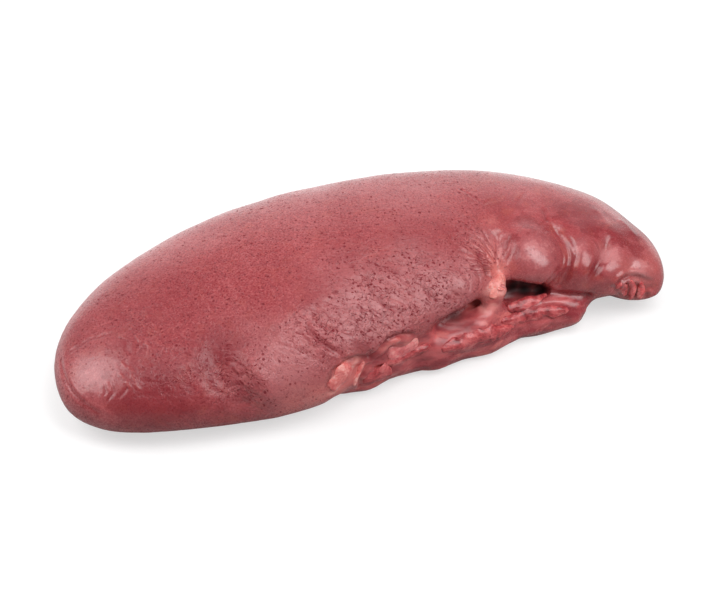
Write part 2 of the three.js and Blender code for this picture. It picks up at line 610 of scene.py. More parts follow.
class Skin:
    """A closed mesh that is sculpted and painted by functions of where its points are.

    A crease acts over some of its widths, and has its shoulders at others. A thin one, narrower than
    so many millimetres, is painted too: with painted shade along a groove, or a painted highlight along
    a raised ridge. Its path is walked in steps, and the skin that lies on the table isn't moved, both
    in millimetres.
    """

    influence: float = 5.0
    shoulder_place: float = 2.2
    thin: float = 2.5
    step: float = 0.4
    fewest: int = 4
    off_table: Span = (0.2, 4.0)

    def __init__(self, mesh: bpy.types.Mesh, view: PhotoView) -> None:
        """Read a mesh and make it ready for pixels of the photograph to be found on it.

        Args:
            mesh: the mesh.
            view: the photograph's camera.
        """
        self.mesh = mesh
        self.view = view
        count = len(mesh.vertices)
        self.points = np.empty(count * 3)
        mesh.vertices.foreach_get("co", self.points)
        self.points = self.points.reshape(-1, 3)
        self.normals = self._read_normals()
        shape = bmesh.new()
        shape.from_mesh(mesh)
        self.tree = BVHTree.FromBMesh(shape)
        shape.free()
        self.height = np.zeros(count)
        # Where thin creases get painted shade, and thin raised ridges a painted highlight
        self.groove = np.zeros(count)
        self.ridge = np.zeros(count)

    def _read_normals(self) -> Array:
        """Read the mesh's normals.

        Returns:
            The normal at each point.
        """
        normals = np.empty(len(self.mesh.vertices) * 3)
        self.mesh.vertex_normals.foreach_get("vector", normals)
        return normals.reshape(-1, 3)

    def find(self, pixel: Pixel) -> Array:
        """Return the point of the skin that the camera sees at a pixel.

        Args:
            pixel: a pixel of the photograph.

        Returns:
            The point, or the skin's point nearest to the ray where it misses.
        """
        start, towards = self.view.place(), self.view.ray(pixel)
        hit = self.tree.ray_cast(start, towards)[0]
        if hit is None:
            offset = self.points - np.array(start)
            along = offset @ np.array(towards)
            away = np.linalg.norm(offset - along[:, None] * np.array(towards), axis=1)
            return self.points[away.argmin()]
        return np.array(hit)

    def near(self, centre: Array, radius: float) -> Array:
        """Return how near each point is to a centre, as a bell of a radius."""
        return bell(np.linalg.norm(self.points - centre, axis=1) / radius)

    def spots(self, spots: Iterable[Spot]) -> Array:
        """Find where spots are.

        Args:
            spots: the spots.

        Returns:
            The strongest of them at each point.
        """
        cover = np.zeros(len(self.points))
        for spot in spots:
            near = self.near(self.find(spot.pixel), spot.radius * MM)
            cover = np.maximum(cover, spot.strength * near)
        return cover

    def path(self, pixels: Sequence[Pixel], step: float) -> Array:
        """Walk over the skin along a line of pixels.

        Args:
            pixels: the line's corners.
            step: the length of a step.

        Returns:
            Points of the skin at even steps.
        """
        corners = np.array([self.find(pixel) for pixel in pixels])
        legs = np.linalg.norm(np.diff(corners, axis=0), axis=1)
        travelled = np.concatenate([[0.0], np.cumsum(legs)])
        places = np.linspace(0.0, travelled[-1], max(self.fewest, int(travelled[-1] / step)))
        return np.stack([np.interp(places, travelled, corners[:, k]) for k in range(3)], axis=1)

    def press(self, crease: Crease) -> None:
        """Press a crease into the skin, or raise a ridge where its depth is below 0.

        Args:
            crease: the crease.
        """
        depth, width = crease.depth * MM, crease.width * MM
        path = self.path(crease.pixels, self.step * MM)
        reach = self.influence * width
        low, high = path.min(axis=0) - reach, path.max(axis=0) + reach
        inside = np.flatnonzero(((self.points > low) & (self.points < high)).all(axis=1))
        gaps = np.linalg.norm(self.points[inside, None, :] - path[None, :, :], axis=2)
        nearest = gaps.argmin(axis=1)
        away = gaps[np.arange(len(inside)), nearest] / width
        share = nearest / (len(path) - 1)
        fade = np.ones(len(inside))
        if crease.fade_in:
            fade *= smooth_step((0.0, crease.fade_in), share)
        if crease.fade_out:
            fade *= smooth_step((1.0, 1.0 - crease.fade_out), share)
        groove = bell(away, crease.power) - crease.shoulder * bell(away - self.shoulder_place)
        self.height[inside] -= depth * fade * groove
        # A thin crease is marked for painted shade in its groove, a thin ridge for a painted highlight on
        # its crest
        if crease.width < self.thin:
            mark = fade * bell(away) * min(1.0, abs(depth) / MM)
            marked = self.groove if depth > 0 else self.ridge
            marked[inside] = np.maximum(marked[inside], mark)

    def move(self) -> None:
        """Move the points along their normals by the heights gathered so far."""
        free = smooth_step(self.off_table, self.points[:, 2], MM)
        self.points += self.normals * (self.height * free)[:, None]
        self.points[:, 2] = np.maximum(self.points[:, 2], 0.0)
        self.height[:] = 0.0
        self.mesh.vertices.foreach_set("co", self.points.ravel())
        self.mesh.update()
        self.normals = self._read_normals()

    def drawn_out(self, direction: Triple, stretch: float) -> Array:
        """Draw a pattern out along a direction.

        Args:
            direction: the direction.
            stretch: how many times as long the pattern gets.

        Returns:
            The places at which the pattern is read, one for each point.
        """
        towards = np.array(Vector(direction).normalized())
        travelled = self.points @ towards
        return self.points - (1.0 - 1.0 / stretch) * travelled[:, None] * towards

    def noise(self, length: float, seed: float, points: Array | None = None) -> Array:
        """Read smooth noise.

        Args:
            length: the length of its waves, in millimetres.
            seed: moves the noise to another place.
            points: where it is read, where that isn't at the points of the skin.

        Returns:
            A number from about -1 to 1 for each point.
        """
        places = (self.points if points is None else points) / (length * MM) + seed
        return np.array([noise.noise(place) for place in places])

    def ripple(self, waves: Waves, share: Any = 1.0, points: Array | None = None) -> None:
        """Add waves to the skin's height.

        Args:
            waves: the waves.
            share: the share of their height, as one number or one for each point.
            points: where their noise is read, where that isn't at the points of the skin.
        """
        self.height += share * waves.height * MM * self.noise(waves.length, waves.seed, points)

    def paint(self, kind: Paint, values: Array) -> None:
        """Store numbers as an attribute of the mesh."""
        layer = self.mesh.attributes.new(kind.value, "FLOAT", "POINT")
        layer.data.foreach_set("value", values.astype(np.float32))


@dataclass(frozen=True)
class WetMembrane:
    """The organ's wet skin, with its pores and wrinkles, and the fat and raw tissue beside it.

    Of a pair of weights, the first holds everywhere, and the second is added on smooth skin, or on
    wrinkled skin in relief.
    """

    deep: Colour = linear(137, 44, 51)
    mid: Colour = linear(162, 66, 70)
    pale: Colour = linear(189, 100, 102)
    amber: Colour = linear(172, 76, 64)
    pore: Colour = linear(116, 6, 24)
    crack: Colour = linear(128, 20, 36)
    # Dark red of the wine-coloured patches, also used as painted shade on shaded sides, in grooves and at
    # the contact with the table
    wine_and_shade: Colour = linear(124, 24, 34)
    # Pale membrane colour, also a painted highlight where the soft boxes reflect
    bloom_and_highlight: Colour = linear(184, 114, 116)
    salmon: Colour = linear(214, 114, 108)
    # A painted highlight, laid in ragged patches over the smooth skin
    painted_highlight: Colour = linear(210, 138, 138)
    fat: Colour = linear(214, 112, 108)
    fat_pale: Colour = linear(236, 166, 156)
    raw: Colour = linear(144, 46, 54)
    raw_light: Colour = linear(196, 92, 94)
    # Painted shade in the deep hollow under the fold
    cavity_shade: Colour = linear(34, 8, 12)
    middle: float = 0.5
    tone: float = 0.46
    tone_stops: Triple = (0.2, 0.5, 0.9)
    tone_clouds: float = 0.5
    tone_patches: Span = (0.2, 0.6)
    tone_grain: Span = (1.5, -1.2)
    tone_weave: Span = (0.6, -0.2)
    amber_share: Span = (0.25, 0.2)
    bloom_and_highlight_share: float = 0.8
    painted_highlight_share: float = 0.36
    stain_and_shade_share: float = 0.8
    rag_share: float = 0.6
    salmon_share: float = 0.8
    groove_shade_share: float = 0.6
    ridge_highlight_share: float = 0.5
    crack_share: float = 0.85
    pore_share: float = 0.95
    streak_share: float = 0.7
    slit_direction: Triple = (0.77, -0.49, -0.41)
    strand_direction: Triple = (0.7, 0.6, 0.4)
    vein_direction: Triple = (1.0, -0.2, 0.0)
    vein_stretch: float = 2.2
    streak_direction: Triple = (1.0, -0.2, 0.1)
    streak_stretch: float = 3.0
    warp: Span = (0.3, 3.5)
    grain: Noise = Noise(1.0, 2.0, 0.6)
    weave: Noise = Noise(0.5, 2.0, 0.6)
    weave_stretch: float = 2.4
    strands: Threads = Threads(0.4, 0.14, 2.6)
    strand_places: Noise = Noise(0.12, 1.0, levels=(0.4, 0.55))
    pore_drift: Noise = Noise(0.04, 1.0, levels=(0.3, 0.6))
    large_pores: Dots = Dots(2.8, 0.6, 0.28)
    small_pores: Dots = Dots(1.8, 0.4, 0.25)
    slit_pores: Dots = Dots(1.8, 0.5, 0.25, 2.0)
    stroke_pores: Dots = Dots(1.2, 0.38, 0.22, 4.0)
    pore_drift_share: float = 0.5
    round_pore_share: float = 1.1
    curls: Seams = Seams(2.5, 0.28)
    curl_share: float = 0.4
    curl_places: Noise = Noise(0.5, 1.0, levels=(0.53, 0.6))
    slits: Threads = Threads(0.55, 0.13, 3.2)
    slit_share: float = 0.3
    slit_places: Noise = Noise(0.3, 1.0, levels=(0.42, 0.52))
    long_cracks: Threads = Threads(0.22, 0.04, 2.6)
    long_crack_share: float = 0.7
    long_crack_places: Noise = Noise(0.1, 1.0, levels=(0.4, 0.5))
    rays: Threads = Threads(1.0, 0.07)
    ray_turns: float = 7.0
    ray_length: float = 14.0
    ray_side: Span = (0.6, 1.2)
    ray_start: Span = (2.0, 6.0)
    ray_end: Span = (30.0, 14.0)
    clouds: Noise = Noise(0.03, 3.0)
    patches: Noise = Noise(0.09, 2.0)
    amber_places: Noise = Noise(0.11, 3.0, 0.6, (0.5, 0.7))
    # The ragged edges of the painted highlight patches
    ragged_highlight: Noise = Noise(0.22, 3.0, 0.6)
    highlight_raggedness: float = 1.2
    highlight_levels: Span = (0.45, 0.6)
    stain_and_shade_edge: Noise = Noise(0.2, 3.0, 0.6)
    stain_and_shade_raggedness: float = 1.5
    stain_and_shade_start: Span = (0.0, 0.2)
    stain_and_shade_levels: Span = (0.2, 0.45)
    veins: Noise = Noise(0.13, 3.0, 0.55)
    flesh_levels: Span = (0.35, 0.65)
    tallow_levels: Span = (0.42, 0.62)
    streaks: Noise = Noise(0.1, 3.0, 0.6, (0.54, 0.62))
    calm: float = 0.9
    pore_calm: float = 0.7
    roughness: float = 0.3
    rough_grain: float = 0.3
    rough_wrinkled: float = 0.12
    rough_smooth: float = -0.06
    rough_pits: float = 0.3
    rough_cavity: float = 0.4
    relief: Span = (0.12, 0.2)
    relief_least: float = 0.04
    relief_grain: float = 0.4
    strand_height: float = 0.5
    pore_depth: float = 0.1
    crack_depth: float = 0.16
    coat: Span = (0.2, 0.25)
    coat_gaps: float = 0.9

    def material(self) -> bpy.types.Material:
        """Make the material.

        Returns:
            The material.
        """
        made, graph = new_material("wet_membrane")
        place = graph.millimetres()
        bent = graph.warped(place, *self.warp)
        wrinkled = graph.attribute(Paint.WRINKLED)
        smooth_skin = graph.attribute(Paint.SMOOTH)
        raw = graph.attribute(Paint.RAW)
        bare = (1.0 - raw) * (1.0 - self.calm * smooth_skin)
        pores = self._pores(graph, place, bent, wrinkled) * (1.0 - raw)
        pores = pores * (1.0 - self.pore_calm * smooth_skin)
        cracks = self._cracks(graph, bent, wrinkled) * bare
        grain = self.grain.on(place)
        weave = self.weave.on(graph.drawn_out(bent, self.slit_direction, self.weave_stretch))
        colour = self._colour(graph, (place, bent), (grain, weave), (pores, cracks))
        pits = (pores + cracks).clamped()
        cavity_shade = graph.attribute(Paint.CAVITY_SHADE)
        rough = self.roughness + self.rough_grain * (grain - self.middle)
        rough = rough + self.rough_wrinkled * wrinkled + self.rough_smooth * smooth_skin
        rough = rough + self.rough_pits * pits + self.rough_cavity * cavity_shade
        relief = graph.grown(self.relief, wrinkled) * bare + self.relief_least
        strands = self.strands.on(graph.drawn_out(bent, self.strand_direction, self.strands.stretch))
        strands = strands * self.strand_places.on(place) * wrinkled * bare
        height = relief * (weave + self.relief_grain * grain) + self.strand_height * strands
        height = height - self.pore_depth * pores - self.crack_depth * cracks
        coat = graph.grown(self.coat, smooth_skin) * (1.0 - self.coat_gaps * pits) * (1.0 - cavity_shade)
        normal = graph.node("ShaderNodeBump", {}, Strength=1.0, Distance=MM, Height=height)
        surface = graph.node(
            "ShaderNodeBsdfPrincipled",
            {"subsurface_method": "RANDOM_WALK"},
            Base_Color=colour,
            Roughness=rough,
            IOR=1.45,
            Normal=normal,
            Subsurface_Weight=0.15,
            Subsurface_Radius=(1.0, 0.3, 0.25),
            Subsurface_Scale=1.2 * MM,
            Coat_Weight=coat,
            Coat_Roughness=0.3,
        )
        graph.node("ShaderNodeOutputMaterial", {}, Surface=surface)
        return made

    def _pores(self, graph: Graph, place: Value, bent: Value, wrinkled: Value) -> Value:
        """Add the dark pores, which are round where the skin is taut and slits where it wrinkles.

        Args:
            graph: the material's graph.
            place: the piece's coordinates in millimetres.
            bent: the same, pushed aside by noise.
            wrinkled: where the skin wrinkles.

        Returns:
            1 in the pores and 0 between them.
        """
        even = 1.0 - self.pore_drift_share
        drift = even + self.pore_drift_share * self.pore_drift.on(place)
        round_pores = self.large_pores.on(place) * drift
        round_pores = round_pores + self.small_pores.on(bent)
        slits, strokes = (dots.on(graph.drawn_out(bent, self.slit_direction, dots.stretch))
                          for dots in (self.slit_pores, self.stroke_pores))
        return (self.round_pore_share * round_pores + (slits + strokes) * wrinkled).clamped()

    def _cracks(self, graph: Graph, bent: Value, wrinkled: Value) -> Value:
        """Add the skin's short curling slits, the long cracks, and the rays round the hilum.

        Args:
            graph: the material's graph.
            bent: the piece's coordinates in millimetres, pushed aside by noise.
            wrinkled: where the skin wrinkles.

        Returns:
            1 in the cracks and 0 between them.
        """
        curls = self.curls.on(bent) * self.curl_places.on(bent)
        flow = graph.drawn_out(bent, self.slit_direction, self.slits.stretch)
        slits = self.slits.on(flow) * self.slit_places.on(flow)
        flow = graph.drawn_out(bent, self.slit_direction, self.long_cracks.stretch)
        long_cracks = self.long_cracks.on(flow) * self.long_crack_places.on(bent)
        turn = graph.attribute(Paint.FAN_TURN)
        reach = graph.attribute(Paint.FAN_REACH)
        across, along = turn * self.ray_turns, reach / self.ray_length
        polar = graph.node("ShaderNodeCombineXYZ", {}, across, along, 0.0)
        rays = self.rays.on(polar) * reach.between(*self.ray_end) * reach.between(*self.ray_start)
        rays = rays * turn.between(*self.ray_side)
        wrinkles = (self.slit_share * slits + self.long_crack_share * long_cracks) * wrinkled
        return (self.curl_share * curls * (1.0 - wrinkled) + wrinkles + rays).clamped()

    def _colour(self, graph: Graph, places: tuple[Value, Value], mottles: tuple[Value, Value],
                pits: tuple[Value, Value]) -> Value:
        """Add the base colour, with painted highlights and painted shade mixed into it.

        Args:
            graph: the material's graph.
            places: the piece's coordinates in millimetres, and the same pushed aside by noise.
            mottles: the finest mottle and the broader one, from 0 to 1.
            pits: where pores and cracks are.

        Returns:
            The colour.
        """
        (place, bent), (grain, weave), (pores, cracks) = places, mottles, pits
        smooth_skin = graph.attribute(Paint.SMOOTH)
        tone = self.tone + self.tone_clouds * (self.clouds.on(place) - self.middle)
        patches = self.patches.on(place)
        mottled = ((patches, self.tone_patches), (grain, self.tone_grain), (weave, self.tone_weave))
        for mottle, pair in mottled:
            tone = tone + (mottle - self.middle) * graph.grown(pair, smooth_skin)
        stops = list(zip(self.tone_stops, (self.deep, self.mid, self.pale)))
        skin = graph.node("ShaderNodeValToRGB", {"stops": stops}, tone)
        # Paler membrane mixed with painted highlights, and ragged patches of painted highlight on the
        # smooth skin
        bloom_and_highlight = graph.attribute(Paint.BLOOM_AND_HIGHLIGHT)
        ragged_highlight = bloom_and_highlight + self.highlight_raggedness * (self.ragged_highlight.on(bent) - self.middle)
        # Wine-coloured patches mixed with painted shade, with ragged edges on the smooth skin
        wine_and_shade = graph.attribute(Paint.WINE_AND_SHADE)
        ragged = wine_and_shade + self.stain_and_shade_raggedness * (self.stain_and_shade_edge.on(place) - self.middle)
        ragged = wine_and_shade.between(*self.stain_and_shade_start) * ragged.between(*self.stain_and_shade_levels)
        stain_and_shade = wine_and_shade * self.stain_and_shade_share * (1.0 - smooth_skin) + ragged * self.rag_share * smooth_skin
        layers = (
            (self.amber_places.on(place) * graph.grown(self.amber_share, smooth_skin), self.amber),
            (bloom_and_highlight * self.bloom_and_highlight_share, self.bloom_and_highlight),
            (ragged_highlight.between(*self.highlight_levels) * smooth_skin * self.painted_highlight_share, self.painted_highlight),
            (stain_and_shade, self.wine_and_shade),
            (graph.attribute(Paint.SALMON) * self.salmon_share, self.salmon),
            # Painted shade in thin grooves, and a painted highlight on thin raised ridges
            (graph.attribute(Paint.GROOVE) * self.groove_shade_share, self.wine_and_shade),
            (graph.attribute(Paint.RIDGE) * self.ridge_highlight_share, self.salmon),
            (cracks * self.crack_share, self.crack),
            (pores * self.pore_share, self.pore),
            (graph.attribute(Paint.RAW), self._flesh(graph, place, bent)),
            (graph.attribute(Paint.FAT), self._tallow(graph, place)),
            # Painted shade in the deep hollow
            (graph.attribute(Paint.CAVITY_SHADE), self.cavity_shade),
        )
        for share, colour in layers:
            skin = graph.blend(share, skin, colour)
        return skin

    def _veins(self, graph: Graph, place: Value) -> Value:
        """Return the drawn-out mottle of flesh and fat."""
        return self.veins.on(graph.drawn_out(place, self.vein_direction, self.vein_stretch))

    def _flesh(self, graph: Graph, place: Value, bent: Value) -> Value:
        """Add the colour of raw tissue, streaked with fat.

        Args:
            graph: the material's graph.
            place: the piece's coordinates in millimetres.
            bent: the same, pushed aside by noise.

        Returns:
            The colour.
        """
        share = self._veins(graph, place).between(*self.flesh_levels)
        flesh = graph.blend(share, self.raw, self.raw_light)
        flow = graph.drawn_out(bent, self.streak_direction, self.streak_stretch)
        return graph.blend(self.streaks.on(flow) * self.streak_share, flesh, self.fat)

    def _tallow(self, graph: Graph, place: Value) -> Value:
        """Return the colour of fat."""
        share = self._veins(graph, place).between(*self.tallow_levels)
        return graph.blend(share, self.fat, self.fat_pale)


@dataclass(frozen=True)
class WetTissue:
    """Wet connective tissue, fat or trimmed flesh: its dark, middle and pale colours."""

    name: str
    dark: Colour
    middle: Colour
    pale: Colour
    stops: Triple = (0.36, 0.5, 0.62)
    warp: Span = (0.3, 3.0)
    clouds: Noise = Noise(0.18, 3.0, 0.6)
    fibres: Noise = Noise(0.9, 2.0, 0.6)
    fibre_direction: Triple = (1.0, -0.3, 0.2)
    fibre_stretch: float = 3.0
    vessels: Threads = Threads(0.13, 0.03)
    cloud_share: float = 0.7
    fibre_share: float = 0.3
    vessel_share: float = 0.3
    fibre_height: float = 0.25
    roughness: float = 0.33
    rough_fibres: float = 0.3

    def material(self) -> bpy.types.Material:
        """Make the material.

        Returns:
            The material.
        """
        made, graph = new_material(self.name)
        bent = graph.warped(graph.millimetres(), *self.warp)
        fibres = self.fibres.on(graph.drawn_out(bent, self.fibre_direction, self.fibre_stretch))
        tone = self.cloud_share * self.clouds.on(bent) + self.fibre_share * fibres
        stops = list(zip(self.stops, (self.dark, self.middle, self.pale)))
        colour = graph.node("ShaderNodeValToRGB", {"stops": stops}, tone)
        colour = graph.blend(self.vessels.on(bent) * self.vessel_share, colour, self.dark)
        height = self.fibre_height * fibres
        normal = graph.node("ShaderNodeBump", {}, Strength=1.0, Distance=MM, Height=height)
        surface = graph.node(
            "ShaderNodeBsdfPrincipled",
            {"subsurface_method": "RANDOM_WALK"},
            Base_Color=colour,
            Roughness=self.roughness + self.rough_fibres * (fibres - 0.5),
            IOR=1.45,
            Normal=normal,
            Subsurface_Weight=0.25,
            Subsurface_Radius=(1.0, 0.35, 0.3),
            Subsurface_Scale=1.5 * MM,
            Coat_Weight=0.2,
            Coat_Roughness=0.15,
        )
        graph.node("ShaderNodeOutputMaterial", {}, Surface=surface)
        return made


@dataclass(frozen=True)
class Strap:
    """A strap or fold of tissue that lies on the skin along pixels of the photograph.

    Its widths to either side along its length, its half thickness, its lift off the skin, and its
    lumps and fibres are in millimetres.
    """

    name: str
    pixels: tuple[Pixel, ...]
    widths: tuple[float, ...]
    thickness: float
    lift: float
    seed: float
    lumps: float = 0.4
    fibres: float = 0.25
    sides: int = 32
    step: float = 0.5
    window: int = 15
    end_power: int = 8
    end_least: float = 0.004
    side_power: int = 3
    side_thinning: float = 0.5
    ragged: float = 0.45
    edge_length: float = 5
    fibre_across: float = 0.9
    fibre_length: float = 7
    lump_length: float = 4

    def build(self, skin: Skin, material: bpy.types.Material) -> bpy.types.Object:
        """Make the strap.

        Args:
            skin: the sculpted skin that it lies on.
            material: its finish.

        Returns:
            Its object.
        """
        route, outward, across = self._route(skin)
        shape = bmesh.new()
        bmesh.ops.create_cone(
            shape, cap_ends=True, cap_tris=True, segments=self.sides, radius1=1, radius2=1, depth=1,
        )
        lengthwise = [edge for edge in shape.edges
                      if abs(edge.verts[0].co.z - edge.verts[1].co.z) > 0.5]
        cuts = len(route) - 2
        bmesh.ops.subdivide_edges(shape, edges=lengthwise, cuts=cuts, use_grid_fill=True)
        for vert in shape.verts:
            vert.co = self._bend(vert.co, route, outward, across)
        smooth_all(shape)
        bmesh.ops.recalc_face_normals(shape, faces=shape.faces)
        for face in shape.faces:
            face.smooth = True
        mesh = to_mesh(self.name, shape)
        mesh.materials.append(material)
        strap = place_object(self.name, mesh)
        stand_for_node(strap)
        return strap

    def _route(self, skin: Skin) -> tuple[Array, Array, Array]:
        """Lay the middle line over the skin.

        Args:
            skin: the sculpted skin.

        Returns:
            The line's points, and at each the direction off the skin and the one across the strap.
        """
        route = skin.path(self.pixels, self.step * MM)
        outward = np.array([skin.tree.find_nearest(point)[1] for point in route])
        window = np.hanning(min(self.window, len(route)) + 2)[1:-1]
        for line in (route, outward):
            padded = np.pad(line, ((len(window) // 2, (len(window) - 1) // 2), (0, 0)), "edge")
            for k in range(3):
                line[:, k] = np.convolve(padded[:, k], window / window.sum(), "valid")
        outward /= np.linalg.norm(outward, axis=1)[:, None]
        across = np.cross(np.gradient(route, axis=0), outward)
        return route, outward, across / np.linalg.norm(across, axis=1)[:, None]

    def _bend(self, place: Vector, route: Array, outward: Array, across: Array) -> Vector:
        """Bend a point of a straight rod with the rod.

        Args:
            place: the point, on a rod of radius 1 and length 1 along Z.
            route: the points of the middle line.
            outward: the direction off the skin at each.
            across: the direction across the strap at each.

        Returns:
            Where the point goes.
        """
        share = min(max(place.z + 0.5, 0.0), 1.0)
        index = round(share * (len(route) - 1))
        width = float(np.interp(share, np.linspace(0, 1, len(self.widths)), self.widths))
        end = math.sqrt(max(self.end_least, 1.0 - abs(2.0 * share - 1.0) ** self.end_power))
        sideways, up = place.x, place.y
        along = share * len(route) * self.step
        edge = noise.noise((along / self.edge_length, self.seed, math.copysign(1.0, sideways)))
        fibre_place = (sideways * width / self.fibre_across, along / self.fibre_length, self.seed + up)
        lump_place = (sideways * width / self.lump_length, along / self.lump_length, self.seed - up)
        thinned = 1.0 - self.side_thinning * abs(sideways) ** self.side_power
        height = self.lift + up * self.thickness * end * thinned
        height += self.fibres * noise.noise(fibre_place) + self.lumps * noise.noise(lump_place)
        spread = sideways * width * end * (1.0 + self.ragged * edge)
        offset = Vector(outward[index]) * height + Vector(across[index]) * spread
        return Vector(route[index]) + offset * MM


